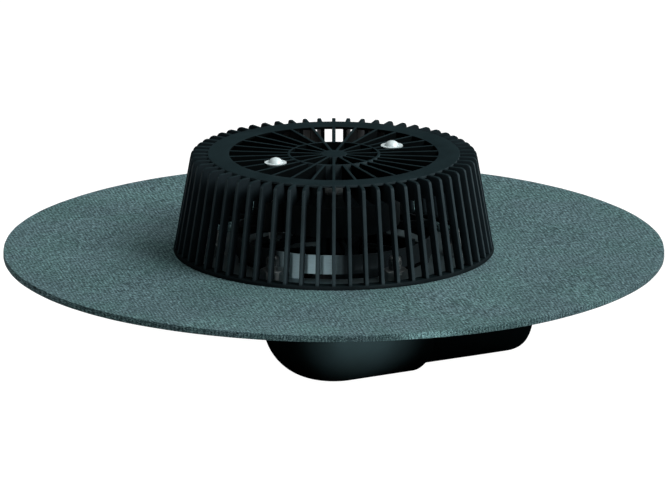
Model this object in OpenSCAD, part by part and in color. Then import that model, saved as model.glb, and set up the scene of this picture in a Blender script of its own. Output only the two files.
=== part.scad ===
// Flat roof drain with a side outlet: a moulded sump under a bitumen collar, a bolted
// clamp ring, an air baffle over the throat and a slotted leaf basket on top.
// The drain axis is Z, the outlet leaves along +X, and z = 0 is the underside of the sump.

/* [Sump] */
// Height of the roof surface above the underside of the sump
sump_depth = 99; // [92:1:130]
// Outside radius of the bowl around the drain axis
bowl_r = 53.5; // [50:0.5:58]
// Radius of the rounding between the bowl's wall and its flat underside
bowl_fillet = 41.5; // [30:0.5:44]
// Wall of the bowl
sump_wall = 4; // [3:0.5:5]
// Distance from the drain axis to the end wall that carries the outlet
sump_len = 60.5; // [58:0.5:90]
// Rounding around the end wall
end_round = 6; // [3:0.5:8]
// Distance from the stud circle in to the edge of the throat
throat_in = 26; // [25:0.5:30]
// Thickness of the pan floor and of the rim that carries the collar
pan_t = 5; // [4:0.5:7]
// Thickness of the upright wall of the pan
pan_wall = 4; // [3:0.5:6]
// Width of the rim outside the pan's wall
rim_w = 15; // [8:1:30]

/* [Outlet] */
// Outside diameter of the spigot
outlet_d = 75; // [63:1:75]
// Wall of the spigot
outlet_wall = 5; // [4:0.5:6]
// Distance from the drain axis to the spigot's mouth
outlet_end = 155.5; // [120:0.5:200]
// Height of the spigot's lowest line above the underside of the sump
outlet_lift = 0.5; // [0:0.1:2]
// Length of the plain end that enters the pipe's socket, behind the nose
socket_len = 26; // [20:1:30]
// Draft of the spigot: the amount by which it narrows from that end back to the drain axis
spigot_draft = 0.5; // [0.4:0.1:1]
// Length of the rounded nose of the spigot
nose_len = 10; // [4:0.5:12]
// Amount the nose draws in
nose_drop = 4; // [2:0.5:4]

/* [Roof collar] */
// Diameter of the bitumen collar
collar_d = 500; // [400:10:600]
// Thickness of the collar
collar_t = 5; // [4:0.5:6]
// Distance from the stud circle in to the edge of the collar's hole
collar_hole_in = 12; // [10:0.5:13]
// Play around the clamp ring in its recess
recess_play = 3; // [2:0.5:5]
// Depth of the recess below the roof surface
recess_depth = 8; // [6:0.5:12]
// Chamfer at the lip of the recess
lip_chamfer = 3; // [1:0.5:4]

/* [Flange and clamp ring] */
// Radius of the circle of studs
stud_circle_r = 92; // [90:0.5:93]
// Number of studs
stud_count = 6; // [4:1:8]
// Angle of the first stud from the outlet
stud_turn = 30; // [0:5:60]
// Diameter of a stud
stud_d = 10; // [8:1:10]
// Length of stud above the clamp ring
stud_stand = 19.5; // [14:0.5:25]
// Play of a stud in its holes
stud_play = 0.5; // [0.3:0.1:1]
// Thickness of the fixed flange that carries the studs
fixed_flange_t = 3; // [2:0.5:5]
// Distance from the stud circle in to the inner edge of the fixed flange
fixed_flange_in = 22; // [21:0.5:23]
// Distance from the stud circle in to the inner edge of the clamp ring
clamp_in = 19; // [17.5:0.5:20]
// Distance from the stud circle out to the outer edge of the clamp ring
clamp_out = 11; // [10.5:0.5:14]
// Thickness of the clamp ring
clamp_t = 4; // [3:0.5:6]
// Across flats of the clamp nuts
clamp_nut_af = 17; // [15:0.5:18]
// Height of the clamp nuts
clamp_nut_h = 8; // [6:0.5:10]
// Diameter of the washers under the clamp nuts
clamp_washer_d = 20; // [19:0.5:21]
// Thickness of those washers
clamp_washer_t = 1.8; // [1:0.1:2.5]

/* [Baffle ring] */
// Distance from the stud circle in to the outside of the baffle ring
baffle_in = 16; // [14.5:0.5:17]
// Thickness of its sheet
baffle_t = 1.5; // [1:0.25:2]
// Height of its wall
baffle_h = 14.5; // [10:0.5:20]
// Gap under its wall, which is the length of its feet
baffle_gap = 4.5; // [3:0.5:8]
// Number of feet
foot_count = 8; // [4:1:12]
// Width of a foot
foot_w = 9.5; // [6:0.5:14]
// Angle of the first foot from the outlet
foot_turn = 37.5; // [0:2.5:60]

/* [Air baffle cap] */
// Radius of the cap
cap_r = 50; // [44:1:54]
// Height of the cap
cap_h = 23; // [18:1:30]
// Thickness of the cap's top and skirt
cap_wall = 3; // [2:0.5:4]
// Clear height between the baffle ring and the cap's rim
cap_gap = 7; // [5:0.5:14]
// Radius of the cap's central boss
cap_boss_r = 11; // [10:0.5:14]
// Number of fins under the cap
fin_count = 8; // [4:2:12]
// Thickness of a fin
fin_t = 3; // [2:0.5:4]
// Radius of an ear that takes a basket screw
ear_r = 9.5; // [8.5:0.5:12]

/* [Bridge and centre bolt] */
// Width of an arm of the bridge
bridge_arm_w = 6; // [4:0.5:10]
// Depth of the arms below their seat
bridge_arm_drop = 11; // [6:1:16]
// Radius of the hub of the bridge
bridge_hub_r = 13; // [12:0.5:16]
// Height of the hub above the arms
bridge_hub_rise = 2; // [1:0.5:5]
// Diameter of the centre bolt
bolt_d = 12; // [10:1:12]
// Length of the centre bolt below its nut
bolt_tail = 8; // [2:0.5:12]
// Across flats of its head and nut
bolt_af = 19; // [18:0.5:20]
// Height of its head
bolt_head_h = 7.5; // [6:0.5:9]
// Height of its nut
bolt_nut_h = 10; // [8:0.5:11]
// Diameter of the washers on the bolt
bolt_washer_d = 22; // [21:0.5:22]
// Thickness of the washers on the bolt
bolt_washer_t = 1.5; // [1:0.1:2.5]

/* [Leaf basket] */
// Distance from the edge of the recess out to the basket's foot ring
basket_seat = 3.2; // [1:0.2:20]
// Height of the basket
basket_h = 74.8; // [74:0.2:90]
// Slope of the side, in degrees from upright
basket_slope = 10; // [5:1:14]
// Number of side ribs
rib_count = 60; // [40:4:72]
// Thickness of a rib
rib_t = 2.8; // [2:0.1:3.6]
// Depth of a rib, measured across the basket
rib_depth = 6.5; // [5:0.5:8]
// Rounding of the ribs at the shoulder
shoulder_r = 5; // [3:0.5:12]
// Depth of the webs under the top
web_depth = 15; // [8:0.5:18]
// Width of the foot ring
foot_ring_w = 9; // [7:0.5:12]
// Height of the foot ring
foot_ring_h = 3; // [2:0.5:4]
// Outer radius of the flat top ring
top_ring_r = 95.3; // [90:0.5:97]
// Inner radius of the flat top ring
top_ring_in_r = 79; // [72:0.5:84]
// Thickness of the flat top ring
top_ring_t = 2; // [1.5:0.5:3]
// Thickness of a spoke
spoke_t = 2.4; // [1.6:0.2:3]
// Radius of the small ring where half of the spokes end
small_ring_r = 35; // [30:1:40]
// Thickness of the small ring
small_ring_t = 2; // [1.5:0.5:3]
// Radius of the hub of the top
hub_r = 10; // [7:0.5:14]

/* [Basket screws] */
// Distance of each basket screw from the drain axis
screw_x = 50.7; // [49:0.1:52]
// Diameter of a basket screw
screw_d = 6; // [5:0.5:6]
// Length of a basket screw below its nut
screw_tail = 4.4; // [1:0.2:10]
// Diameter of its head
screw_head_d = 11.3; // [10:0.1:13]
// Height of its domed head
screw_head_h = 3.6; // [3:0.1:5]
// Diameter of the washer under the head
screw_washer_d = 16.6; // [14:0.1:17]
// Thickness of that washer
screw_washer_t = 0.8; // [0.6:0.1:2]
// Radius of the boss in the basket
screw_boss_r = 8.5; // [8.5:0.1:10]
// Depth of the boss's top below the basket's flat top
screw_sink = 1.1; // [0.5:0.1:2]
// Across flats of the nut under the ear
screw_nut_af = 10; // [9:0.5:11]
// Height of that nut
screw_nut_h = 5; // [4:0.5:6]
// Diameter of the washer above that nut
ear_washer_d = 12.5; // [12:0.5:14]
// Thickness of the washer above that nut
ear_washer_t = 1.4; // [1:0.1:2]

/* [Hidden] */
$fn = 96;

fit = 0.3;            // play between round faces that pass each other
thread_play = 0.05;   // play between a bolt and the bore of its nut
eps = 0.01;           // overlap that makes a cut clean
over = 1;             // length by which a drill stands out on each side of its plate
bite = 1;             // depth to which an arm or spoke enters the ring or hub it joins
setback = 1;          // distance by which an edge stands back from the one it lies against
arm_play = 4;         // clearance of the bridge's arms in the throat
foot_step = 2;        // height by which the feet of the fins stay below the cap's rim
arm_count = 4;        // arms of the bridge
arm_turn = 45;        // angle of its first arm, between the ears of the cap
screw_count = 2;      // basket screws, on the line of the outlet
chamfer_share = 0.97; // round face on top of a hexagon over its across flats

// Heights from the underside of the sump upwards
roof_z = sump_depth;
clamp_face_z = roof_z - recess_depth;
flange_top_z = clamp_face_z - collar_t;
pan_floor_z = flange_top_z - fixed_flange_t;
pan_low_z = pan_floor_z - pan_t;
ring_top_z = clamp_face_z + clamp_t;
clamp_nut_z = ring_top_z + clamp_washer_t;
baffle_low_z = ring_top_z + baffle_gap;
baffle_top_z = baffle_low_z + baffle_h;
cap_low_z = baffle_top_z + cap_gap;
cap_top_z = cap_low_z + cap_h;
bridge_low_z = flange_top_z - bridge_arm_drop;
bridge_top_z = clamp_face_z + bridge_hub_rise;
bolt_seat_z = cap_top_z + bolt_washer_t;
basket_top_z = roof_z + basket_h;

// Radii that follow from the driving sizes
throat_r = stud_circle_r - throat_in;
collar_hole_r = stud_circle_r - collar_hole_in;
fixed_flange_in_r = stud_circle_r - fixed_flange_in;
clamp_in_r = stud_circle_r - clamp_in;
clamp_out_r = stud_circle_r + clamp_out;
recess_r = clamp_out_r + recess_play;
baffle_r = stud_circle_r - baffle_in;
basket_r = recess_r + lip_chamfer + basket_seat + foot_ring_w;
recess_wall_r = recess_r + collar_t;
pan_in_r = recess_wall_r + fit;
pan_out_r = pan_in_r + pan_wall;
rim_r = pan_out_r + rim_w;
fixed_flange_r = recess_wall_r - setback;
bridge_ring_r = collar_hole_r - fit;
bridge_ring_in_r = fixed_flange_in_r + setback;
outlet_r = outlet_d / 2;
outlet_z = outlet_r + outlet_lift;
stud_r = stud_d / 2;
stud_hole_r = stud_r + stud_play;
bolt_r = bolt_d / 2;
screw_r = screw_d / 2;
hex = 1 / cos(30);    // across corners of a hexagon over its across flats
taper = tan(basket_slope);
web_z = basket_top_z - web_depth;
screw_seat_z = basket_top_z - screw_sink;

// Lengths under the heads
bolt_len = bolt_seat_z - bridge_low_z + bolt_washer_t + bolt_nut_h + bolt_tail;
screw_len = screw_seat_z + screw_washer_t - cap_low_z + ear_washer_t + screw_nut_h + screw_tail;

// Copies of the children at even turns around the drain axis
module ring_of(count, turn = 0) {
    for (i = [0 : count - 1])
        rotate([0, 0, turn + i * 360 / count]) children();
}

// A flat ring between two radii, standing on height z
module flat_ring(inner, outer, z, h) {
    translate([0, 0, z]) difference() {
        cylinder(r = outer, h = h);
        translate([0, 0, -over]) cylinder(r = inner, h = h + 2 * over);
    }
}

// A hexagon nut or head with a 30 degree turned chamfer on its upper corners
module hex_body(af, h, z) {
    corner_r = af * hex / 2;
    chamfer = corner_r - af / 2 * chamfer_share;
    translate([0, 0, z]) intersection() {
        cylinder(r = corner_r, h = h, $fn = 6);
        rotate_extrude()
            polygon([[0, 0], [corner_r, 0], [corner_r, h - chamfer * tan(30)],
                [corner_r - chamfer, h], [0, h]]);
    }
}

// Outline of the trough, seen along the outlet: a flat floor, two large roundings and
// upright walls, from half width and fillet, between the floor's height and the top
module trough_outline(half, fillet, floor_z, top_z) {
    translate([-half, floor_z + fillet]) square([2 * half, top_z - floor_z - fillet]);
    translate([fillet - half, floor_z]) square([2 * (half - fillet), fillet + eps]);
    for (side = [-1, 1])
        translate([side * (half - fillet), floor_z + fillet]) circle(r = fillet);
}

// The bowl's wall line turned around the drain axis
module bowl_solid(half, fillet, floor_z, top_z) {
    rotate_extrude() intersection() {
        trough_outline(half, fillet, floor_z, top_z);
        translate([0, floor_z]) square([half, top_z - floor_z]);
    }
}

// The trough from the drain axis to x = len, with its end rounded by round_r
module trough_solid(half, fillet, floor_z, top_z, len, round_r) {
    // the two long roundings, each a bar turned about its own axis
    for (side = [-1, 1])
        translate([0, side * (half - fillet), floor_z + fillet]) rotate([0, 90, 0])
            rotate_extrude() rounded_bar(len, fillet, round_r);
    // the flat floor between them
    translate([0, half - fillet, floor_z + fillet]) rotate([90, 0, 0])
        linear_extrude(2 * (half - fillet)) mirror([0, 1]) rotate([0, 0, 90]) mirror([0, 1])
            rounded_bar(len, fillet, round_r);
    // the upright walls
    translate([0, 0, floor_z + fillet]) linear_extrude(top_z - floor_z - fillet)
        for (side = [-1, 1]) scale([1, side]) rotate([0, 0, 90]) mirror([0, 1])
            rounded_bar(len, half, round_r);
}

// Half of a bar's outline: width along X, length along Y, its far outer corner rounded
module rounded_bar(len, width, round_r) {
    square([width, len - round_r]);
    square([width - round_r, len]);
    translate([width - round_r, len - round_r]) circle(r = round_r);
}

// Moulded body: pan, throat, bowl and spigot in one piece
module sump_body() {
    in_r = bowl_r - sump_wall;
    in_fillet = bowl_fillet - sump_wall;
    cone_z = pan_low_z - (throat_r - in_r);
    color("#1f2a2c") difference() {
        union() {
            bowl_solid(bowl_r, bowl_fillet, 0, pan_low_z + eps);
            trough_solid(bowl_r, bowl_fillet, 0, pan_low_z + eps, sump_len, end_round);
            // funnel under the pan
            rotate_extrude() polygon([[0, cone_z - sump_wall], [in_r + sump_wall, cone_z - sump_wall],
                [throat_r + sump_wall, pan_low_z], [throat_r + sump_wall, pan_low_z + eps],
                [0, pan_low_z + eps]]);
            // pan that the flange lies in, and the rim under the collar
            translate([0, 0, pan_low_z]) cylinder(r = pan_out_r, h = roof_z - collar_t - pan_low_z);
            translate([0, 0, roof_z - collar_t - pan_t]) cylinder(r = rim_r, h = pan_t);
            // spigot with its rounded nose
            translate([0, 0, outlet_z]) rotate([0, 90, 0]) rotate_extrude() spigot_outline();
        }
        translate([0, 0, pan_floor_z]) cylinder(r = pan_in_r, h = roof_z);
        translate([0, 0, pan_low_z - eps]) cylinder(r = throat_r, h = 2 * pan_t);
        rotate_extrude() polygon([[0, cone_z], [in_r, cone_z], [throat_r, pan_low_z], [0, pan_low_z]]);
        bowl_solid(in_r, in_fillet, sump_wall, pan_low_z);
        trough_solid(in_r, in_fillet, sump_wall, pan_low_z - sump_wall, sump_len - sump_wall,
            end_round / 2);
        translate([0, 0, outlet_z]) rotate([0, 90, 0])
            cylinder(r = outlet_r - outlet_wall, h = outlet_end + over);
    }
}

// Half section of the spigot: radius along X, distance from the drain axis along Y
module spigot_outline() {
    nose = [for (a = [0 : 15 : 90])
        [outlet_r - nose_drop + nose_drop * cos(a), outlet_end - nose_len + nose_len * sin(a)]];
    polygon(concat([[0, 0], [outlet_r - spigot_draft, 0],
        [outlet_r, outlet_end - nose_len - socket_len]], nose, [[0, outlet_end]]));
}

// Steel flange lying in the pan, under the collar
module fixed_flange() {
    color("#8a9496") flat_ring(fixed_flange_in_r, fixed_flange_r, pan_floor_z, fixed_flange_t);
}

// Studs welded to the top of the fixed flange
module clamp_studs() {
    len = ring_top_z + stud_stand - flange_top_z;
    point = stud_d / 10;
    color("#9aa4a6") ring_of(stud_count, stud_turn) translate([stud_circle_r, 0, flange_top_z])
        rotate_extrude() polygon([[0, 0], [stud_r, 0], [stud_r, len - point],
            [stud_r - point, len], [0, len]]);
}

// Bitumen collar: a flat disc that dips into the recess under the clamp ring
module roof_collar() {
    low = flange_top_z;
    color("#4e696c") difference() {
        rotate_extrude() polygon([
            [collar_hole_r, low], [recess_wall_r - lip_chamfer, low], [recess_wall_r, low + lip_chamfer],
            [recess_wall_r, roof_z - collar_t], [collar_d / 2, roof_z - collar_t],
            [collar_d / 2, roof_z], [recess_r + lip_chamfer, roof_z],
            [recess_r, roof_z - lip_chamfer], [recess_r, clamp_face_z], [collar_hole_r, clamp_face_z]]);
        ring_of(stud_count, stud_turn) translate([stud_circle_r, 0, low - over])
            cylinder(r = stud_hole_r, h = collar_t + 2 * over);
    }
}

// Loose steel ring that clamps the collar
module clamp_ring() {
    color("#8a9496") difference() {
        flat_ring(clamp_in_r, clamp_out_r, clamp_face_z, clamp_t);
        ring_of(stud_count, stud_turn) translate([stud_circle_r, 0, clamp_face_z - over])
            cylinder(r = stud_hole_r, h = clamp_t + 2 * over);
    }
}

module clamp_washers() {
    color("#b4bcbe") ring_of(stud_count, stud_turn) translate([stud_circle_r, 0, 0])
        flat_ring(stud_hole_r, clamp_washer_d / 2, ring_top_z, clamp_washer_t);
}

module clamp_nuts() {
    color("#b4bcbe") ring_of(stud_count, stud_turn) translate([stud_circle_r, 0, 0]) difference() {
        hex_body(clamp_nut_af, clamp_nut_h, clamp_nut_z);
        translate([0, 0, clamp_nut_z - over])
            cylinder(r = stud_r + thread_play, h = clamp_nut_h + 2 * over);
    }
}

// Moulded bridge across the throat, held between the fixed flange and the clamp ring
module throat_bridge() {
    color("#20292b") difference() {
        union() {
            flat_ring(bridge_ring_in_r, bridge_ring_r, flange_top_z, collar_t);
            translate([0, 0, bridge_low_z]) cylinder(r = bridge_hub_r, h = bridge_top_z - bridge_low_z);
            ring_of(arm_count, arm_turn) {
                translate([0, -bridge_arm_w / 2, flange_top_z])
                    cube([bridge_ring_in_r + bite, bridge_arm_w, collar_t]);
                translate([0, -bridge_arm_w / 2, bridge_low_z])
                    cube([throat_r - arm_play, bridge_arm_w, bridge_arm_drop + eps]);
            }
        }
        translate([0, 0, bridge_low_z - over])
            cylinder(r = bolt_r + fit, h = bridge_top_z - bridge_low_z + 2 * over);
    }
}

// Stainless ring that stands on the clamp ring on short feet
module baffle_ring() {
    color("#aab3b5") union() {
        flat_ring(baffle_r - baffle_t, baffle_r, baffle_low_z, baffle_h);
        intersection() {
            flat_ring(baffle_r - baffle_t, baffle_r, ring_top_z, baffle_gap + bite);
            ring_of(foot_count, foot_turn) translate([0, -foot_w / 2, ring_top_z])
                cube([baffle_r + bite, foot_w, baffle_gap + bite]);
        }
    }
}

// Cap over the throat: a shallow cup on a central boss, with fins that bear on the
// baffle ring and two ears for the basket screws
module baffle_cap() {
    fin_top_z = cap_top_z - cap_wall;
    color("#1c2527") difference() {
        union() {
            flat_ring(cap_r - cap_wall, cap_r, cap_low_z, cap_h);
            translate([0, 0, fin_top_z]) cylinder(r = cap_r, h = cap_wall);
            translate([0, 0, bridge_top_z]) cylinder(r = cap_boss_r, h = cap_top_z - bridge_top_z);
            ring_of(fin_count, 180 / fin_count) {
                translate([0, -fin_t / 2, baffle_top_z]) cube([baffle_r, fin_t, cap_gap - foot_step]);
                translate([0, -fin_t / 2, baffle_top_z])
                    cube([cap_r - cap_wall / 2, fin_t, fin_top_z - baffle_top_z + eps]);
            }
            ring_of(screw_count) translate([screw_x, 0, cap_low_z]) cylinder(r = ear_r, h = cap_h);
        }
        translate([0, 0, bridge_top_z - over])
            cylinder(r = bolt_r + fit, h = cap_top_z - bridge_top_z + 2 * over);
        ring_of(screw_count) translate([screw_x, 0, cap_low_z - over])
            cylinder(r = screw_r + fit, h = cap_h + 2 * over);
    }
}

// Hexagon bolt through the cap and the bridge
module centre_bolt() {
    color("#c4cbcc") union() {
        hex_body(bolt_af, bolt_head_h, bolt_seat_z);
        translate([0, 0, bolt_seat_z - bolt_len]) cylinder(r = bolt_r, h = bolt_len + eps);
    }
}

module centre_washer() {
    color("#c4cbcc") flat_ring(bolt_r + fit, bolt_washer_d / 2, cap_top_z, bolt_washer_t);
}

module bridge_washer() {
    color("#c4cbcc")
        flat_ring(bolt_r + fit, bolt_washer_d / 2, bridge_low_z - bolt_washer_t, bolt_washer_t);
}

module centre_nut() {
    low = bridge_low_z - bolt_washer_t - bolt_nut_h;
    color("#c4cbcc") difference() {
        hex_body(bolt_af, bolt_nut_h, low);
        translate([0, 0, low - over]) cylinder(r = bolt_r + thread_play, h = bolt_nut_h + 2 * over);
    }
}

// Outline of a rib and its web: height up, radius across
module rib_outline() {
    top_r = basket_r - taper * basket_h;
    // centre of the shoulder's rounding, which touches the top and the sloping side
    side_r = basket_r - taper * (basket_h - shoulder_r) - shoulder_r / cos(basket_slope);
    shoulder = [for (a = [basket_slope : (90 - basket_slope) / 6 : 90.01])
        [side_r + shoulder_r * cos(a), basket_top_z - shoulder_r + shoulder_r * sin(a)]];
    inner_r = top_r + taper * web_depth - rib_depth;
    polygon(concat([[basket_r - rib_depth, roof_z], [basket_r, roof_z]], shoulder,
        [[top_ring_in_r, basket_top_z], [top_ring_in_r, web_z], [inner_r, web_z]]));
}

// Leaf basket, one moulding: sloping ribs on a foot ring, a flat top ring and a spoked top
module leaf_basket() {
    color("#1e2a2c") difference() {
        union() {
            translate([0, 0, roof_z]) rotate_extrude()
                polygon([[basket_r - foot_ring_w, 0], [basket_r, 0],
                    [basket_r - taper * foot_ring_h, foot_ring_h], [basket_r - foot_ring_w, foot_ring_h]]);
            flat_ring(top_ring_in_r, top_ring_r, basket_top_z - top_ring_t, top_ring_t);
            ring_of(rib_count) rotate([90, 0, 0])
                translate([0, 0, -rib_t / 2]) linear_extrude(rib_t) rib_outline();
            ring_of(rib_count / 2) translate([small_ring_r - small_ring_t / 2, -spoke_t / 2, web_z])
                cube([top_ring_in_r - small_ring_r + small_ring_t / 2 + bite, spoke_t, web_depth]);
            ring_of(rib_count / 4) translate([hub_r - bite, -spoke_t / 2, web_z])
                cube([small_ring_r - small_ring_t / 2 - hub_r + bite, spoke_t, web_depth]);
            flat_ring(small_ring_r - small_ring_t, small_ring_r, web_z, web_depth);
            translate([0, 0, web_z]) cylinder(r = hub_r, h = web_depth);
            ring_of(screw_count) translate([screw_x, 0, web_z])
                cylinder(r = screw_boss_r, h = web_depth - screw_sink);
        }
        ring_of(screw_count) translate([screw_x, 0, web_z - over])
            cylinder(r = screw_r + fit, h = web_depth + 2 * over);
        // the spokes stop at the boss, so that the washer lies flat on it
        ring_of(screw_count) translate([screw_x, 0, screw_seat_z])
            cylinder(r = screw_boss_r + fit, h = screw_sink + over);
    }
}

module screw_washers() {
    color("#dde3e4") ring_of(screw_count) translate([screw_x, 0, 0])
        flat_ring(screw_r + fit, screw_washer_d / 2, screw_seat_z, screw_washer_t);
}

// Dome-headed screws that hold the basket to the cap's ears
module basket_screws() {
    seat = screw_seat_z + screw_washer_t;
    head_r = screw_head_d / 2;
    dome_r = (head_r * head_r + screw_head_h * screw_head_h) / (2 * screw_head_h);
    color("#dde3e4") ring_of(screw_count) translate([screw_x, 0, seat]) union() {
        translate([0, 0, -screw_len]) cylinder(r = screw_r, h = screw_len + eps);
        rotate_extrude() intersection() {
            translate([0, screw_head_h - dome_r]) circle(r = dome_r);
            square([head_r, screw_head_h]);
        }
    }
}

module ear_washers() {
    color("#dde3e4") ring_of(screw_count) translate([screw_x, 0, 0])
        flat_ring(screw_r + fit, ear_washer_d / 2, cap_low_z - ear_washer_t, ear_washer_t);
}

module basket_nuts() {
    low = cap_low_z - ear_washer_t - screw_nut_h;
    color("#dde3e4") ring_of(screw_count) translate([screw_x, 0, 0]) difference() {
        hex_body(screw_nut_af, screw_nut_h, low);
        translate([0, 0, low - over]) cylinder(r = screw_r + thread_play, h = screw_nut_h + 2 * over);
    }
}

sump_body();
fixed_flange();
clamp_studs();
roof_collar();
clamp_ring();
clamp_washers();
clamp_nuts();
throat_bridge();
baffle_ring();
baffle_cap();
centre_bolt();
centre_washer();
bridge_washer();
centre_nut();
leaf_basket();
screw_washers();
basket_screws();
ear_washers();
basket_nuts();
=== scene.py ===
"""Flat roof drain with a side outlet: surfaces, materials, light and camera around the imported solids.

Lengths are metres. The drain axis is Z, the outlet leaves along +X and the sump stands on z = 0.
"""

import bmesh
import bpy
import numpy as np
from mathutils import Matrix, Vector


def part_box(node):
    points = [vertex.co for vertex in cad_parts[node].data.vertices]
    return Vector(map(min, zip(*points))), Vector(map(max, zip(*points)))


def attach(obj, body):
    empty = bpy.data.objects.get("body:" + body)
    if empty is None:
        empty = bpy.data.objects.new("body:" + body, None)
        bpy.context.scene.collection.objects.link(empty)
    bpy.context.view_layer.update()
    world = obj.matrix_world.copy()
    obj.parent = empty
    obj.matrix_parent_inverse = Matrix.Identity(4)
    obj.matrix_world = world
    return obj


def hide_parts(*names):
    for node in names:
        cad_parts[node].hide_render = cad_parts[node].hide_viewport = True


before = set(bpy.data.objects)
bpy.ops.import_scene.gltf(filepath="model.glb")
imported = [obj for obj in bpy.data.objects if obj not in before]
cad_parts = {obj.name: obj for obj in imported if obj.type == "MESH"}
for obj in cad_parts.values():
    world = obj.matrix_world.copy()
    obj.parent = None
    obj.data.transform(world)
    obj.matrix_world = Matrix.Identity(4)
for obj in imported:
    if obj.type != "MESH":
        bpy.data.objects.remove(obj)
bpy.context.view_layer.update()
MM = 0.001

# Sump body -----------------------------------------------------------------------------
# Bowl, pan, rim and spigot leave the tool as one injection moulding in black polypropylene.
# The tool's spark-eroded grain makes the skin dull, and a faint haze shows where the melt ran.


def linear(hex_colour):
    """Linear RGBA of an sRGB hex colour: below 0.04045 a straight line, above it a power of 2.4."""
    srgb = np.array([int(hex_colour[i : i + 2], 16) for i in (1, 3, 5)]) / 255
    rgb = np.where(srgb <= 0.04045, srgb / 12.92, ((srgb + 0.055) / 1.055) ** 2.4)
    return (*rgb.tolist(), 1.0)


def add_node(tree, kind, values=None, **settings):
    """Add one node: settings are its own properties, and values gives inputs a constant or a link."""
    node = tree.nodes.new(kind)
    for name, value in settings.items():
        setattr(node, name, value)
    for key, value in (values or {}).items():
        if isinstance(value, bpy.types.NodeSocket):
            tree.links.new(value, node.inputs[key])
        else:
            node.inputs[key].default_value = value
    return node


def start_material(name):
    """An empty node tree of a new material, with the object's own coordinates ready to use."""
    material = bpy.data.materials.new(name)
    material.use_nodes = True
    tree = material.node_tree
    tree.nodes.clear()
    place = add_node(tree, "ShaderNodeTexCoord").outputs["Object"]
    return material, tree, place


def end_material(tree, shader):
    """Send the shader to the material's output."""
    add_node(tree, "ShaderNodeOutputMaterial", {"Surface": shader.outputs["BSDF"]})


def dress(node_name, material):
    """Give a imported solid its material, and smooth its round faces while its edges stay crisp."""
    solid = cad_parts[node_name]
    solid.data.materials.clear()
    solid.data.materials.append(material)
    solid.modifiers.new("smooth_round_faces", "NODES").node_group = smooth_group()


ROUND_UNDER = np.radians(30)  # an edge that turns by less than this lies inside a round face
WELD = 1e-6  # points of loose triangles that are nearer than this are one


def smooth_group():
    """Node group that joins loose triangles and shades smooth wherever two meet under the angle
    that a round face keeps to."""
    name = "smooth_round_faces"
    if name in bpy.data.node_groups:
        return bpy.data.node_groups[name]
    group = bpy.data.node_groups.new(name, "GeometryNodeTree")
    group.interface.new_socket("Geometry", in_out="INPUT", socket_type="NodeSocketGeometry")
    group.interface.new_socket("Geometry", in_out="OUTPUT", socket_type="NodeSocketGeometry")
    source = add_node(group, "NodeGroupInput")
    joined = add_node(
        group, "GeometryNodeMergeByDistance", {"Geometry": source.outputs[0], "Distance": WELD}
    )
    angle = add_node(group, "GeometryNodeInputMeshEdgeAngle")
    round_edge = add_node(
        group,
        "FunctionNodeCompare",
        {"A": angle.outputs["Unsigned Angle"], "B": ROUND_UNDER},
        data_type="FLOAT",
        operation="LESS_THAN",
    )
    faces = add_node(
        group,
        "GeometryNodeSetShadeSmooth",
        {"Geometry": joined.outputs[0], "Shade Smooth": True},
        domain="FACE",
    )
    edges = add_node(
        group,
        "GeometryNodeSetShadeSmooth",
        {"Geometry": faces.outputs[0], "Shade Smooth": round_edge.outputs[0]},
        domain="EDGE",
    )
    add_node(group, "NodeGroupOutput", {"Geometry": edges.outputs[0]})
    return group


SUMP_BLACK = "#0f1718"  # black masterbatch with a cold cast
SUMP_HAZE = "#131c1e"  # slight haze where the melt ran
FLOW_MM = 35.0  # width of the flow clouds
GRAIN_MM = 0.9  # grain of the tool's skin, drawn coarser than the real 0.1 mm
SUMP_ROUGH = (0.5, 0.6)  # duller where the haze lies
POLYPROPYLENE_IOR = 1.49
NOISE_LOW, NOISE_HIGH = 0.3, 0.7  # nearly all values of a noise lie between these

polypropylene, tree, place = start_material("black_polypropylene_moulded")
flow = add_node(tree, "ShaderNodeTexNoise", {"Vector": place, "Scale": 1000 / FLOW_MM, "Detail": 3.0})
haze = add_node(tree, "ShaderNodeValToRGB", {"Fac": flow.outputs["Fac"]})
for stop, position, colour in zip(haze.color_ramp.elements, (0.35, 0.75), (SUMP_BLACK, SUMP_HAZE)):
    stop.position = position
    stop.color = linear(colour)
gloss = add_node(
    tree,
    "ShaderNodeMapRange",
    {
        "Value": flow.outputs["Fac"],
        "From Min": NOISE_LOW,
        "From Max": NOISE_HIGH,
        "To Min": SUMP_ROUGH[0],
        "To Max": SUMP_ROUGH[1],
    },
)
grain = add_node(tree, "ShaderNodeTexNoise", {"Vector": place, "Scale": 1000 / GRAIN_MM, "Detail": 1.0})
bump = add_node(
    tree, "ShaderNodeBump", {"Height": grain.outputs["Fac"], "Strength": 0.12, "Distance": 0.1 * MM}
)
shader = add_node(
    tree,
    "ShaderNodeBsdfPrincipled",
    {
        "Base Color": haze.outputs["Color"],
        "Roughness": gloss.outputs["Result"],
        "Normal": bump.outputs["Normal"],
        "IOR": POLYPROPYLENE_IOR,
        "Specular IOR Level": 0.0,
    },
)
end_material(tree, shader)
dress("sump_body", polypropylene)

# Fixed flange --------------------------------------------------------------------------
# A ring laser-cut from 3 mm stainless sheet that lies in the pan and carries the studs.
# Its faces keep the mill's rolled finish: grey, dull, with faint marks along one direction.

STEEL_LIGHT = "#6a7c80"
STEEL_DARK = "#5a6b6f"
STEEL_ROUGH = (0.5, 0.58)
ROLL_MM = 0.7  # spacing of the rolling marks
ROLL_LENGTH = 14  # how much longer than wide a rolling mark is

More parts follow.
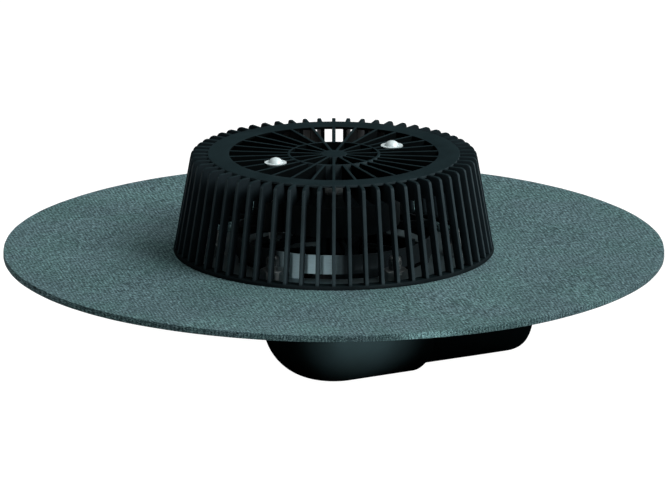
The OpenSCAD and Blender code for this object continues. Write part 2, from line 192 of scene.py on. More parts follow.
rolled_steel, tree, place = start_material("stainless_sheet_cold_rolled")
stretched = add_node(
    tree, "ShaderNodeMapping", {"Vector": place, "Scale": (1 / ROLL_LENGTH, 1.0, 1.0)}
)
marks = add_node(
    tree,
    "ShaderNodeTexNoise",
    {"Vector": stretched.outputs["Vector"], "Scale": 1000 / ROLL_MM, "Detail": 2.0},
)
tone = add_node(tree, "ShaderNodeValToRGB", {"Fac": marks.outputs["Fac"]})
for stop, position, colour in zip(
    tone.color_ramp.elements, (NOISE_LOW, NOISE_HIGH), (STEEL_DARK, STEEL_LIGHT)
):
    stop.position = position
    stop.color = linear(colour)
rough = add_node(
    tree,
    "ShaderNodeMapRange",
    {
        "Value": marks.outputs["Fac"],
        "From Min": NOISE_LOW,
        "From Max": NOISE_HIGH,
        "To Min": STEEL_ROUGH[0],
        "To Max": STEEL_ROUGH[1],
    },
)
shader = add_node(
    tree,
    "ShaderNodeBsdfPrincipled",
    {"Base Color": tone.outputs["Color"], "Roughness": rough.outputs["Result"], "Metallic": 1.0},
)
end_material(tree, shader)
dress("fixed_flange", rolled_steel)

# Clamp studs ---------------------------------------------------------------------------
# Six zinc-plated M10 studs, welded to the fixed flange, with a rolled thread of 1.5 mm pitch.
# The thread is real surface, because its crests glint between the ribs. The zinc is a pale
# satin grey with soft clouds.


def grid_faces(rows, cols, wrap_rows, wrap_cols, first=0):
    """Quads of a grid of points: each joins a point to the next in its row and column, and the last
    row or column to the first where the grid wraps round."""
    down = np.arange(rows if wrap_rows else rows - 1)
    along = np.arange(cols if wrap_cols else cols - 1)
    i, j = np.meshgrid(down, along, indexing="ij")
    k, m = (i + 1) % rows, (j + 1) % cols
    quads = np.stack([i * cols + j, k * cols + j, k * cols + m, i * cols + m], axis=-1)
    return quads.reshape(-1, 4) + first


SAME_POINT = 1e-7  # points nearer than this are one


def make_piece(name, grids, material, node_name, sharp=40):
    """Mesh object from grids of points, each with its two wrap flags. Points that coincide are
    merged, which closes poles, faces are turned outwards, and edges over the sharp angle stay crisp."""
    points, quads, first = [], [], 0
    for grid, wrap_rows, wrap_cols in grids:
        points.append(grid.reshape(-1, 3))
        quads.append(grid_faces(*grid.shape[:2], wrap_rows, wrap_cols, first))
        first += grid.shape[0] * grid.shape[1]
    mesh = bpy.data.meshes.new(name)
    mesh.from_pydata(np.concatenate(points), [], np.concatenate(quads).tolist())
    form = bmesh.new()
    form.from_mesh(mesh)
    bmesh.ops.remove_doubles(form, verts=form.verts, dist=SAME_POINT)
    bmesh.ops.dissolve_degenerate(form, edges=form.edges, dist=SAME_POINT)
    bmesh.ops.recalc_face_normals(form, faces=form.faces)
    form.to_mesh(mesh)
    form.free()
    mesh.shade_smooth()
    mesh.set_sharp_from_angle(angle=np.radians(sharp))
    mesh.materials.append(material)
    piece = bpy.data.objects.new(name, mesh)
    bpy.context.scene.collection.objects.link(piece)
    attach(piece, "root")
    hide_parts(node_name)


THREAD_DEPTH = 0.6  # depth of a thread over its pitch
VALLEY_POWER = 1.5  # power of the wave that narrows the thread's valleys


def threaded_rod(radius, low, high, pitch, chamfer, around=24, steps=6):
    """Rod along Z with a helical thread: at turn t and height z the radius dips by a rounded V of
    the pitch, whose phase moves one pitch in one turn. It has so many points around and so many
    steps to a pitch. Both ends draw in and close on the axis."""
    depth = THREAD_DEPTH * pitch
    rows = int(np.ceil((high - low) / pitch * steps)) + 1
    z = np.linspace(low, high, rows)[:, None]
    turn = np.linspace(0, 1, around, endpoint=False)[None, :]
    phase = (z / pitch - turn) % 1
    wave = 0.5 - 0.5 * np.cos(2 * np.pi * phase)
    r = radius - depth * wave**VALLEY_POWER
    end_gap = np.minimum(z - low, high - z)
    r = np.minimum(r, radius - chamfer + np.minimum(end_gap, chamfer))
    angle = 2 * np.pi * turn
    rod = np.stack([r * np.cos(angle), r * np.sin(angle), z + 0 * angle], axis=-1)
    tip, foot = np.zeros((1, around, 3)), np.zeros((1, around, 3))
    tip[..., 2], foot[..., 2] = high, low
    return np.concatenate([foot, rod, tip])


STUD_CIRCLE_R = 92 * MM
STUD_COUNT = 6
STUD_TURN = 30  # degrees from the outlet to the first stud
STUD_R = 5 * MM
STUD_PITCH = 1.5 * MM
STUD_CHAMFER = 1 * MM
ZINC_LIGHT = "#a4adae"
ZINC_DARK = "#8f999b"
ZINC_ROUGH = (0.34, 0.42)
SPANGLE_MM = 2.5  # clouds in the zinc coat

zinc_steel, tree, place = start_material("steel_zinc_plated")
clouds = add_node(
    tree, "ShaderNodeTexNoise", {"Vector": place, "Scale": 1000 / SPANGLE_MM, "Detail": 2.0}
)
tone = add_node(tree, "ShaderNodeValToRGB", {"Fac": clouds.outputs["Fac"]})
for stop, position, colour in zip(tone.color_ramp.elements, (0.35, 0.65), (ZINC_DARK, ZINC_LIGHT)):
    stop.position = position
    stop.color = linear(colour)
rough = add_node(
    tree,
    "ShaderNodeMapRange",
    {
        "Value": clouds.outputs["Fac"],
        "From Min": NOISE_LOW,
        "From Max": NOISE_HIGH,
        "To Min": ZINC_ROUGH[0],
        "To Max": ZINC_ROUGH[1],
    },
)
shader = add_node(
    tree,
    "ShaderNodeBsdfPrincipled",
    {"Base Color": tone.outputs["Color"], "Roughness": rough.outputs["Result"], "Metallic": 1.0},
)
end_material(tree, shader)

stud_low, stud_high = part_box("clamp_studs")
rod = threaded_rod(STUD_R, stud_low.z, stud_high.z, STUD_PITCH, STUD_CHAMFER)
studs = []
for turn in np.radians(STUD_TURN + 360 / STUD_COUNT * np.arange(STUD_COUNT)):
    centre = STUD_CIRCLE_R * np.array([np.cos(turn), np.sin(turn), 0])
    studs.append((rod + centre, False, True))
make_piece("threaded_studs", studs, zinc_steel, "clamp_studs", sharp=80)

# Roof collar ---------------------------------------------------------------------------
# A knife-cut disc of polyester-reinforced bitumen sheet, 5 mm thick, pressed down into the
# recess. Talc dulls its face to a grey-green with dark and pale grit, the ghost of the fleece's
# weave and long soft streaks from the calender, and its edge is never quite true.


def rounded(corners, cut, steps=4):
    """Closed outline with soft corners: each corner becomes a parabola between the two points that
    lie cut away from it along its edges."""
    here = np.asarray(corners, float)
    before, after = np.roll(here, 1, axis=0) - here, np.roll(here, -1, axis=0) - here
    cut = np.broadcast_to(cut, len(here))[:, None]
    start = here + before / np.linalg.norm(before, axis=1, keepdims=True) * cut
    stop = here + after / np.linalg.norm(after, axis=1, keepdims=True) * cut
    t = np.linspace(0, 1, steps)[None, :, None]
    soft = (1 - t) ** 2 * start[:, None] + 2 * t * (1 - t) * here[:, None] + t**2 * stop[:, None]
    return soft.reshape(-1, 2)


def spaced(outline, most):
    """The same closed outline with extra points, so that no two neighbours are further than most
    apart: each side is split into equal steps."""
    ends = np.roll(outline, -1, axis=0)
    counts = np.maximum(1, np.ceil(np.linalg.norm(ends - outline, axis=1) / most)).astype(int)
    side = np.repeat(np.arange(len(outline)), counts)
    step = np.arange(counts.sum()) - np.repeat(np.cumsum(counts) - counts, counts)
    share = (step / counts[side])[:, None]
    return outline[side] * (1 - share) + ends[side] * share


def revolve(outline, segments):
    """Turn a closed outline of radius and height round the Z axis, in equal steps of angle."""
    angle = np.linspace(0, 2 * np.pi, segments, endpoint=False)[:, None]
    r, z = outline[:, 0][None, :], outline[:, 1][None, :]
    return np.stack([r * np.cos(angle), r * np.sin(angle), z + 0 * angle], axis=-1)


COLLAR_R = 250 * MM
COLLAR_T = 5 * MM
HOLE_R = 80 * MM
RECESS_R = 106 * MM
LIP = 3 * MM
CLAMP_FACE_Z = 91 * MM
ROOF_Z = 99 * MM
PRESS_ROUND = 0.6 * MM  # soft corners of the section
COLLAR_STEP = 3 * MM  # longest step of the mesh along the section
COLLAR_SEGMENTS = 540
HELD_R = 130 * MM  # foot ring and pan hold the sheet out to here
EASE = 40 * MM  # width over which its waves grow to their full height
WAVE_MM = 0.35  # height of those waves
WAVES = ((21, 13, 1.0), (-17, 26, 2.2), (38, 9, 0.0))  # radians in a metre of x and y, and phase
EDGE_MM = 0.5  # how far the knife wandered inwards
EDGE_BAND = 6 * MM  # width of the strip that follows the knife
WANDERS = ((7, 1.0, 0.25), (23, 0.0, 0.15), (61, 0.0, 0.1))  # waves in a turn, phase and share

outer_wall = RECESS_R + COLLAR_T
collar_outline = rounded(
    [
        (HOLE_R, CLAMP_FACE_Z - COLLAR_T),
        (outer_wall - LIP, CLAMP_FACE_Z - COLLAR_T),
        (outer_wall, CLAMP_FACE_Z - COLLAR_T + LIP),
        (outer_wall, ROOF_Z - COLLAR_T),
        (COLLAR_R, ROOF_Z - COLLAR_T),
        (COLLAR_R, ROOF_Z),
        (RECESS_R + LIP, ROOF_Z),
        (RECESS_R, ROOF_Z - LIP),
        (RECESS_R, CLAMP_FACE_Z),
        (HOLE_R, CLAMP_FACE_Z),
    ],
    PRESS_ROUND,
)
collar = revolve(spaced(collar_outline, COLLAR_STEP), COLLAR_SEGMENTS)
x, y = collar[..., 0], collar[..., 1]
reach = np.hypot(x, y)
free = np.clip((reach - HELD_R) / EASE, 0, 1)
slow = sum(np.sin(along_x * x + along_y * y + phase) for along_x, along_y, phase in WAVES)
collar[..., 2] += free * WAVE_MM / len(WAVES) * MM * slow
bearing = np.arctan2(y, x)
wander = sum((share * np.sin(waves * bearing + phase) for waves, phase, share in WANDERS), 0.5)
near_edge = np.clip((reach - COLLAR_R + EDGE_BAND) / EDGE_BAND, 0, 1)
collar[..., :2] *= (1 - near_edge * wander * EDGE_MM * MM / COLLAR_R)[..., None]

BITUMEN_DARK = "#1b2f32"
BITUMEN_MID = "#466063"
BITUMEN_PALE = "#82a0a2"
BITUMEN_GREEN = "#4b6a6a"  # cast of the thin patches
BITUMEN_BLUE = "#526a70"  # cast of the thick patches
CAST_MM = 45.0  # width of those patches
THREAD_MM = 2.5  # spacing of the fleece's warp, drawn coarser than the real 0.8 mm so that it shows
THREAD_WEIGHT = 0.1
WARP_TURN = np.radians(-20)  # way across the warp: the sheet lies askew to the outlet
BAND_PERIOD = np.pi / 10  # spacing of the wave texture's bands at a scale of 1
MIX_A, MIX_B, MIX_RESULT = 6, 7, 2  # sockets of a Mix node that carry colours

bitumen, tree, place = start_material("bitumen_sheet_talc_faced")
warp = add_node(tree, "ShaderNodeMapping", {"Vector": place, "Rotation": (0, 0, -WARP_TURN)})
threads = add_node(
    tree,
    "ShaderNodeTexWave",
    {
        "Vector": warp.outputs["Vector"],
        "Scale": BAND_PERIOD * 1000 / THREAD_MM,
        "Distortion": 2.5,
        "Detail": 2.0,
        "Detail Scale": 0.6,
    },
    bands_direction="X",
)
layers = [(threads.outputs["Fac"], THREAD_WEIGHT)]
for size_mm, stretch, turn, weight in (
    (0.9, 5.5, -20, 0.85),  # warp fibres
    (0.9, 4.5, -42, 0.75),  # fibres laid askew to them
    (0.8, 1.0, 0, 0.55),  # talc and grit
    (9.0, 8.0, 60, 0.05),  # streaks of the calender rolls
    (60.0, 1.0, 0, 0.13),  # patches where the talc lies thicker
):
    drawn = add_node(
        tree,
        "ShaderNodeMapping",
        {"Vector": place, "Rotation": (0, 0, -np.radians(turn)), "Scale": (1.0, 1 / stretch, 1.0)},
    )
    noise = add_node(
        tree,
        "ShaderNodeTexNoise",
        {"Vector": drawn.outputs["Vector"], "Scale": 1000 / size_mm, "Detail": 2.0},
    )
    layers.append((noise.outputs["Fac"], weight))
total = 0.5 - 0.5 * sum(weight for _, weight in layers)
for source, weight in layers:
    total = add_node(
        tree, "ShaderNodeMath", {0: source, 1: weight, 2: total}, operation="MULTIPLY_ADD"
    ).outputs[0]
tone = add_node(tree, "ShaderNodeValToRGB", {"Fac": total})
for stop, position, colour in zip(
    tone.color_ramp.elements, (0.26, 0.74), (BITUMEN_DARK, BITUMEN_PALE)
):
    stop.position = position
    stop.color = linear(colour)
middle = tone.color_ramp.elements.new(0.5)
middle.color = linear(BITUMEN_MID)
patches = add_node(
    tree, "ShaderNodeTexNoise", {"Vector": place, "Scale": 1000 / CAST_MM, "Detail": 3.0}
)
cast = add_node(tree, "ShaderNodeValToRGB", {"Fac": patches.outputs["Fac"]})
for stop, position, colour in zip(cast.color_ramp.elements, (0.4, 0.6), (BITUMEN_GREEN, BITUMEN_BLUE)):
    stop.position = position
    stop.color = linear(colour)
tinted = add_node(
    tree,
    "ShaderNodeMix",
    {"Factor": 0.5, MIX_A: tone.outputs["Color"], MIX_B: cast.outputs["Color"]},
    data_type="RGBA",
    blend_type="COLOR",
)
bump = add_node(tree, "ShaderNodeBump", {"Height": total, "Strength": 0.3, "Distance": 0.3 * MM})
shader = add_node(
    tree,
    "ShaderNodeBsdfPrincipled",
    {
        "Base Color": tinted.outputs[MIX_RESULT],
        "Roughness": 0.85,
        "Normal": bump.outputs["Normal"],
        "IOR": 1.5,
        "Specular IOR Level": 0.15,
    },
)
end_material(tree, shader)
make_piece("bitumen_collar", [(collar, True, True)], bitumen, "roof_collar")

# Clamp ring, its washers and nuts ------------------------------------------------------
# A loose ring of 4 mm stainless sheet, rolled grey and dull, that presses the collar onto its
# seat. Six zinc-plated M10 nuts with washers hold it down on the studs.

dress("clamp_ring", rolled_steel)
dress("clamp_washers", zinc_steel)
dress("clamp_nuts", zinc_steel)

# Throat bridge and air baffle cap ------------------------------------------------------
# Both are black mouldings in ABS with a dull, faintly clouded skin. The bridge spans the
# throat, and the bolt holds the cap on it, its fins bearing on the baffle ring.

ABS_BLACK = "#0a1012"
ABS_GREY = "#10191c"
ABS_FLOW_MM = 22.0  # width of the flow clouds
ABS_ROUGH = (0.4, 0.48)

abs_plastic, tree, place = start_material("black_abs_moulded")
flow = add_node(
    tree, "ShaderNodeTexNoise", {"Vector": place, "Scale": 1000 / ABS_FLOW_MM, "Detail": 3.0}
)
tone = add_node(tree, "ShaderNodeValToRGB", {"Fac": flow.outputs["Fac"]})
for stop, position, colour in zip(tone.color_ramp.elements, (0.35, 0.7), (ABS_BLACK, ABS_GREY)):
    stop.position = position
    stop.color = linear(colour)
gloss = add_node(
    tree,
    "ShaderNodeMapRange",
    {
        "Value": flow.outputs["Fac"],
        "From Min": NOISE_LOW,
        "From Max": NOISE_HIGH,
        "To Min": ABS_ROUGH[0],
        "To Max": ABS_ROUGH[1],
    },
)
shader = add_node(
    tree,
    "ShaderNodeBsdfPrincipled",
    {
        "Base Color": tone.outputs["Color"],
        "Roughness": gloss.outputs["Result"],
        "IOR": 1.54,
        "Specular IOR Level": 0.04,
    },
)
end_material(tree, shader)
dress("throat_bridge", abs_plastic)
dress("baffle_cap", abs_plastic)

# Baffle ring ---------------------------------------------------------------------------
# A strip of bright-rolled stainless sheet, bent to a ring and welded, standing on short feet
# on the clamp ring. Fine lines run round it; painted shade darkens it but for one painted reflection.

# The ring's two tones are painted light: a bright painted reflection and a dark painted shade.
STEEL_PAINTED_REFLECTION = "#a2bec6"
STEEL_PAINTED_SHADE = "#20282b"  # painted shade, everywhere but at the painted reflection
PAINTED_REFLECTION_WAY = (-0.707, -0.707, 0)  # way from the axis to the middle of the painted reflection, which faces the front
PAINTED_REFLECTION_FROM, PAINTED_REFLECTION_FULL = 0.93, 0.985  # cosines off that way, from the painted shade to the painted reflection
BRUSH_MM = 0.5  # spacing of the lines
BRUSH_LENGTH = 12.5  # how much longer than wide a line is
BRUSH_TONE = (0.9, 1.1)
BRIGHT_ROUGH = (0.5, 0.58)

bright_steel, tree, place = start_material("stainless_sheet_bright_rolled")
lines = add_node(
    tree,
    "ShaderNodeMapping",
    {"Vector": place, "Scale": (1 / BRUSH_LENGTH, 1 / BRUSH_LENGTH, 1.0)},
)
marks = add_node(
    tree,
    "ShaderNodeTexNoise",
    {"Vector": lines.outputs["Vector"], "Scale": 1000 / BRUSH_MM, "Detail": 2.0},
)
# Painted reflection on the patch that faces the front, painted shade on the rest of the ring.
level = add_node(tree, "ShaderNodeVectorMath", {0: place, 1: (1, 1, 0)}, operation="MULTIPLY")
outward = add_node(tree, "ShaderNodeVectorMath", {0: level.outputs[0]}, operation="NORMALIZE")
toward = add_node(
    tree, "ShaderNodeVectorMath", {0: outward.outputs[0], 1: PAINTED_REFLECTION_WAY}, operation="DOT_PRODUCT"
)
painted_reflection = add_node(
    tree,
    "ShaderNodeMapRange",
    {"Value": toward.outputs["Value"], "From Min": PAINTED_REFLECTION_FROM, "From Max": PAINTED_REFLECTION_FULL},
    interpolation_type="SMOOTHSTEP",
)
tone = add_node(
    tree,
    "ShaderNodeMix",
    {"Factor": painted_reflection.outputs["Result"], MIX_A: linear(STEEL_PAINTED_SHADE), MIX_B: linear(STEEL_PAINTED_REFLECTION)},
    data_type="RGBA",
)
brushed = add_node(
    tree,
    "ShaderNodeMapRange",
    {
        "Value": marks.outputs["Fac"],
        "From Min": NOISE_LOW,
        "From Max": NOISE_HIGH,
        "To Min": BRUSH_TONE[0],
        "To Max": BRUSH_TONE[1],
    },
)
tone = add_node(
    tree,
    "ShaderNodeVectorMath",
    {0: tone.outputs[MIX_RESULT], "Scale": brushed.outputs["Result"]},
    operation="SCALE",
)
rough = add_node(
    tree,
    "ShaderNodeMapRange",
    {
        "Value": marks.outputs["Fac"],
        "From Min": NOISE_LOW,
        "From Max": NOISE_HIGH,
        "To Min": BRIGHT_ROUGH[0],
        "To Max": BRIGHT_ROUGH[1],
    },
)
shader = add_node(
    tree,
    "ShaderNodeBsdfPrincipled",
    {
        "Base Color": tone.outputs["Vector"],
        "Roughness": rough.outputs["Result"],
        "Metallic": 0.1,
        "Specular IOR Level": 0.1,
    },
)
end_material(tree, shader)
dress("baffle_ring", bright_steel)

# Centre bolt, its washers and nut ------------------------------------------------------
# A zinc-plated M12 hexagon bolt through cap and bridge, with a washer at each end and a nut
# below. It is a pale satin grey, like the clamp nuts.

for name in ("centre_bolt", "centre_washer", "bridge_washer", "centre_nut"):
    dress(name, zinc_steel)

# Leaf basket ---------------------------------------------------------------------------
# One moulding in black polypropylene: sixty ribs slope up from a foot ring and bend over into
# a flat ring, and thin deep spokes carry the middle. The tool's small radius on every edge
# draws the bright lines. Painted light greys the outer faces; painted shade darkens sides, tops, webs
# and foot.

FOOT_R = 121.2 * MM
TOP_Z = 173.8 * MM
SLOPE_TURN = 10  # degrees by which the ribs lean inwards
SLOPE = np.tan(np.radians(SLOPE_TURN))
RIB_COUNT = 60
LONG_SPOKES = 30
SHORT_SPOKES = 15
RIB_HALF = 1.4 * MM
RIB_DEPTH = 6.5 * MM
RIB_ROUND = 0.55 * MM
RIB_INSET = 0.1 * MM  # the ribs' feet lie this far inside the foot ring's face
RIB_LIFT = 0.2 * MM  # and this far above its underside
RIB_DIP = 0.4 * MM  # under the flat ring their tops lie this far below its face
RIB_GAP = 0.3 * MM  # distance from a rib's stations to the flat ring's edges
DIP_WIDTH = 0.5 * MM  # width of the flat ring's edge under which the tops dip
UNDER_STEP = 1.5 * MM  # place of the same station on the underside
BEND_STATIONS = 8
BEND_STEP = 0.4 * MM  # step of the bend's stations along the underside
SHOULDER_R = 4 * MM
WEB_DEPTH = 15 * MM
RING_OUT_R = 95.3 * MM
RING_IN_R = 79 * MM
RING_T = 2 * MM
FOOT_W = 9 * MM
FOOT_H = 3 * MM
SPOKE_HALF = 1.2 * MM
SMALL_RING_R = 35 * MM
SMALL_RING_T = 2 * MM
HUB_R = 10 * MM
SOFT = 0.4 * MM  # radius of the rings' and spokes' edges
BITE = 1 * MM  # depth to which a spoke runs into the flat ring or the hub
RING_SEGMENTS = 180
HUB_SEGMENTS = 48
SCREW_X = 50.7 * MM
BORE_R = 3.3 * MM
BOSS_R = 8.5 * MM
BOSS_ROUND = 0.15 * MM
BOSS_BITE = 0.1 * MM  # depth to which a spoke runs into a boss
BOSS_SINK = 1.1 * MM  # the boss's top lies this far below the flat top
SINK = 0.15 * MM  # a spoke's top lies this far under the rings it runs into


def plate(outer, inner, half, soft):
    """Upright plate in the XZ plane: at each station it reaches from an outer to an inner point of
    radius and height, half thick to either side. The section is a rectangle whose corners are
    quarter circles of radius soft, and both ends close on the middle of the section."""
    depth = np.linalg.norm(inner - outer, axis=1)[:, None]
    way = (inner - outer) / depth
    turn = np.radians(90 * np.arange(4)[:, None] + [0, 45, 90]).ravel()
    deep, wide = np.repeat([1, -1, -1, 1], 3), np.repeat([1, 1, -1, -1], 3)
    along = depth / 2 + deep * (depth / 2 - soft) + soft * np.cos(turn)
    across = np.broadcast_to(wide * (half - soft) + soft * np.sin(turn), along.shape)
    r = outer[:, :1] + way[:, :1] * along
    z = outer[:, 1:] + way[:, 1:] * along
    grid = np.stack([r, across, z], axis=-1)
    ends = np.broadcast_to(grid.mean(axis=1, keepdims=True), grid.shape)
    return np.concatenate([ends[:1], grid, ends[-1:]])


def turned(grid, angle):
    """The grid turned round Z by an angle."""
    c, s = np.cos(angle), np.sin(angle)
    return grid @ np.array([[c, s, 0], [-s, c, 0], [0, 0, 1]])


basket_h = TOP_Z - ROOF_Z
side_r = FOOT_R - SLOPE * (basket_h - SHOULDER_R) - SHOULDER_R / np.cos(np.radians(SLOPE_TURN))
bend = np.radians(np.linspace(SLOPE_TURN, 90, BEND_STATIONS))
shoulder = np.stack(
    [side_r + SHOULDER_R * np.cos(bend), TOP_Z - SHOULDER_R + SHOULDER_R * np.sin(bend)], axis=1
)
web_z = TOP_Z - WEB_DEPTH
corner_r = FOOT_R - SLOPE * (basket_h - WEB_DEPTH) - RIB_DEPTH
foot_z = ROOF_Z + RIB_LIFT
outer_line = np.concatenate(
    [
        [(FOOT_R - RIB_INSET, foot_z)],
        shoulder,
        [
            (RING_OUT_R + RIB_GAP, TOP_Z),
            (RING_OUT_R - DIP_WIDTH, TOP_Z - RIB_DIP),
            (RING_IN_R + RIB_GAP, TOP_Z - RIB_DIP),
        ],
    ]
)
stations = np.arange(BEND_STATIONS)
inner_bend = np.stack([corner_r - BEND_STEP * stations, web_z + 0 * stations], axis=1)
inner_line = np.concatenate(
    [
        [(FOOT_R - RIB_DEPTH, foot_z)],
        inner_bend,
        [
            (RING_OUT_R - RIB_GAP, web_z),
            (RING_OUT_R - UNDER_STEP, web_z),
            (RING_IN_R + RIB_GAP, web_z),
        ],
    ]
)
rib = plate(outer_line, inner_line, RIB_HALF, RIB_ROUND)


def spoke(start_r, stop_r):
    """Straight spoke along X from one radius to another, between the web's two heights."""
    r = np.array([start_r, stop_r])
    high, low = np.full(2, TOP_Z - SINK), np.full(2, web_z)
    return plate(np.stack([r, high], axis=1), np.stack([r, low], axis=1), SPOKE_HALF, SOFT)


def all_round(count):
    """Angles of equal turns, the first of them over the outlet."""
    return np.radians(360 / count * np.arange(count))


def ring_section(inner_r, outer_r, low, high, lean=0):
    """Four corners of a ring's section, with the outer top corner drawn in by lean."""
    return [(inner_r, low), (outer_r, low), (outer_r - lean, high), (inner_r, high)]


spoke_in, spoke_out = SMALL_RING_R - 0.5 * SMALL_RING_T, RING_IN_R + BITE
boss_in, boss_out = SCREW_X - BOSS_R + BOSS_BITE, SCREW_X + BOSS_R - BOSS_BITE
long_spoke = spoke(spoke_in, spoke_out)
cut_spokes = [spoke(spoke_in, boss_in), spoke(boss_out, spoke_out)]
short_spoke = spoke(HUB_R - BITE, spoke_in)
cut_angles = (0, np.pi)  # the two spokes with a screw's boss in them
whole_angles = np.delete(all_round(LONG_SPOKES), (0, LONG_SPOKES // 2))
basket = [(turned(rib, angle), False, True) for angle in all_round(RIB_COUNT)]
basket += [(turned(long_spoke, angle), False, True) for angle in whole_angles]
basket += [(turned(cut, angle), False, True) for cut in cut_spokes for angle in cut_angles]
basket += [(turned(short_spoke, angle), False, True) for angle in all_round(SHORT_SPOKES)]
foot_top_z = ROOF_Z + FOOT_H
for outline in (
    ring_section(FOOT_R - FOOT_W, FOOT_R, ROOF_Z, foot_top_z, SLOPE * FOOT_H),
    ring_section(RING_IN_R, RING_OUT_R, TOP_Z - RING_T, TOP_Z),
    ring_section(SMALL_RING_R - SMALL_RING_T, SMALL_RING_R, web_z, TOP_Z),
):
    basket.append((revolve(rounded(outline, SOFT), RING_SEGMENTS), True, True))
hub = rounded(ring_section(SOFT, HUB_R, web_z, TOP_Z), SOFT)
hub = np.concatenate([[(0, web_z)], hub[2:-2], [(0, TOP_Z)]])  # its ends run in to the axis
basket.append((revolve(hub, HUB_SEGMENTS), True, False))
boss = rounded(ring_section(BORE_R, BOSS_R, web_z, TOP_Z - BOSS_SINK), BOSS_ROUND)
for side in (-1, 1):
    basket.append((revolve(boss, HUB_SEGMENTS) + np.array([side * SCREW_X, 0, 0]), True, True))

WEB_PAINTED_SHADE = "#0a0e0f"  # painted shade: the webs inside the flat ring drawn deep black
# Painted light and shade by the way each face turns: sides and tops darker, outer faces greyer.
RIB_SIDE_PAINTED_SHADE = "#212a2e"
RIB_TOP_PAINTED_SHADE = "#1c282b"
RIB_FACE_PAINTED_LIGHT = "#354145"  # painted light: outer faces, the greyest of all
RIB_ROUGH = (0.46, 0.54)
RIB_CLOUD = (0.85, 1.15)  # share of the tone that the flow clouds take away or add
FOOT_PAINTED_SHADE = 0.3  # painted shade: share of its tone that the foot ring keeps, dark as in the shade by the roof
FOOT_SHADE_UNDER = 0.5 * MM  # the painted shade fades out from this far below the foot ring's top
FOOT_SHADE_OVER = 1.5 * MM  # to this far above it
RIB_FLOW_MM = 18.0  # width of the flow clouds
SKIN_MM = 0.8  # tool grain, drawn coarser than real
FACING_FROM, FACING_FULL = 0.45, 0.85  # cosines between which a face takes on its painted light or shade

basket_plastic, tree, place = start_material("black_polypropylene_satin")
flow = add_node(
    tree, "ShaderNodeTexNoise", {"Vector": place, "Scale": 1000 / RIB_FLOW_MM, "Detail": 3.0}
)
normal = add_node(tree, "ShaderNodeNewGeometry").outputs["Normal"]
level = add_node(tree, "ShaderNodeVectorMath", {0: place, 1: (1, 1, 0)}, operation="MULTIPLY")
outward = add_node(tree, "ShaderNodeVectorMath", {0: level.outputs[0]}, operation="NORMALIZE")
radius = add_node(tree, "ShaderNodeVectorMath", {0: level.outputs[0]}, operation="LENGTH")
outside = add_node(
    tree,
    "ShaderNodeMapRange",
    {"Value": radius.outputs["Value"], "From Min": RING_IN_R, "From Max": RING_OUT_R},
)
# Painted shade inside the flat ring, then painted light and shade by the way each face turns.
tone = add_node(
    tree,
    "ShaderNodeMix",
    {"Factor": outside.outputs["Result"], MIX_A: linear(WEB_PAINTED_SHADE), MIX_B: linear(RIB_SIDE_PAINTED_SHADE)},
    data_type="RGBA",
).outputs[MIX_RESULT]
for way, colour in ((outward.outputs[0], RIB_FACE_PAINTED_LIGHT), ((0, 0, 1), RIB_TOP_PAINTED_SHADE)):
    facing = add_node(tree, "ShaderNodeVectorMath", {0: normal, 1: way}, operation="DOT_PRODUCT")
    patch = add_node(
        tree,
        "ShaderNodeMapRange",
        {"Value": facing.outputs["Value"], "From Min": FACING_FROM, "From Max": FACING_FULL},
        interpolation_type="SMOOTHSTEP",
    )
    tone = add_node(
        tree,
        "ShaderNodeMix",
        {"Factor": patch.outputs["Result"], MIX_A: tone, MIX_B: linear(colour)},
        data_type="RGBA",
    ).outputs[MIX_RESULT]
clouded = add_node(
    tree,
    "ShaderNodeMapRange",
    {
        "Value": flow.outputs["Fac"],
        "From Min": NOISE_LOW,
        "From Max": NOISE_HIGH,
        "To Min": RIB_CLOUD[0],
        "To Max": RIB_CLOUD[1],
    },
)
# Painted shade: the foot ring and the ribs' feet darker towards the roof.
above = add_node(
    tree,
    "ShaderNodeMapRange",
    {
        "Value": add_node(tree, "ShaderNodeSeparateXYZ", {"Vector": place}).outputs["Z"],
        "From Min": foot_top_z - FOOT_SHADE_UNDER,
        "From Max": foot_top_z + FOOT_SHADE_OVER,
        "To Min": FOOT_PAINTED_SHADE,
    },
)
shade = add_node(
    tree,
    "ShaderNodeMath",
    {0: clouded.outputs["Result"], 1: above.outputs["Result"]},
    operation="MULTIPLY",
)
tone = add_node(
    tree, "ShaderNodeVectorMath", {0: tone, "Scale": shade.outputs[0]}, operation="SCALE"
)
skin = add_node(tree, "ShaderNodeTexNoise", {"Vector": place, "Scale": 1000 / SKIN_MM, "Detail": 1.0})
bump = add_node(
    tree, "ShaderNodeBump", {"Height": skin.outputs["Fac"], "Strength": 0.1, "Distance": 0.1 * MM}
)
gloss = add_node(
    tree,
    "ShaderNodeMapRange",
    {
        "Value": flow.outputs["Fac"],
        "From Min": NOISE_LOW,
        "From Max": NOISE_HIGH,
        "To Min": RIB_ROUGH[0],
        "To Max": RIB_ROUGH[1],
    },
)
shader = add_node(
    tree,
    "ShaderNodeBsdfPrincipled",
    {
        "Base Color": tone.outputs["Vector"],
        "Roughness": gloss.outputs["Result"],
        "Normal": bump.outputs["Normal"],
        "IOR": POLYPROPYLENE_IOR,
        "Specular IOR Level": 0.005,
    },
)
end_material(tree, shader)
make_piece("ribbed_basket", basket, basket_plastic, "leaf_basket", sharp=60)

# Basket screws, washers and nuts -------------------------------------------------------
# Two M6 dome-headed screws of polished stainless steel hold the basket to the cap's ears.
# Heads and washers are a bright satin white, with no mirror in them.

POLISHED = "#e2f0f1"
POLISHED_DIM = "#d2e2e4"
POLISHED_ROUGH = (0.46, 0.52)
SWIRL_MM = 3.0  # width of the clouds on the heads

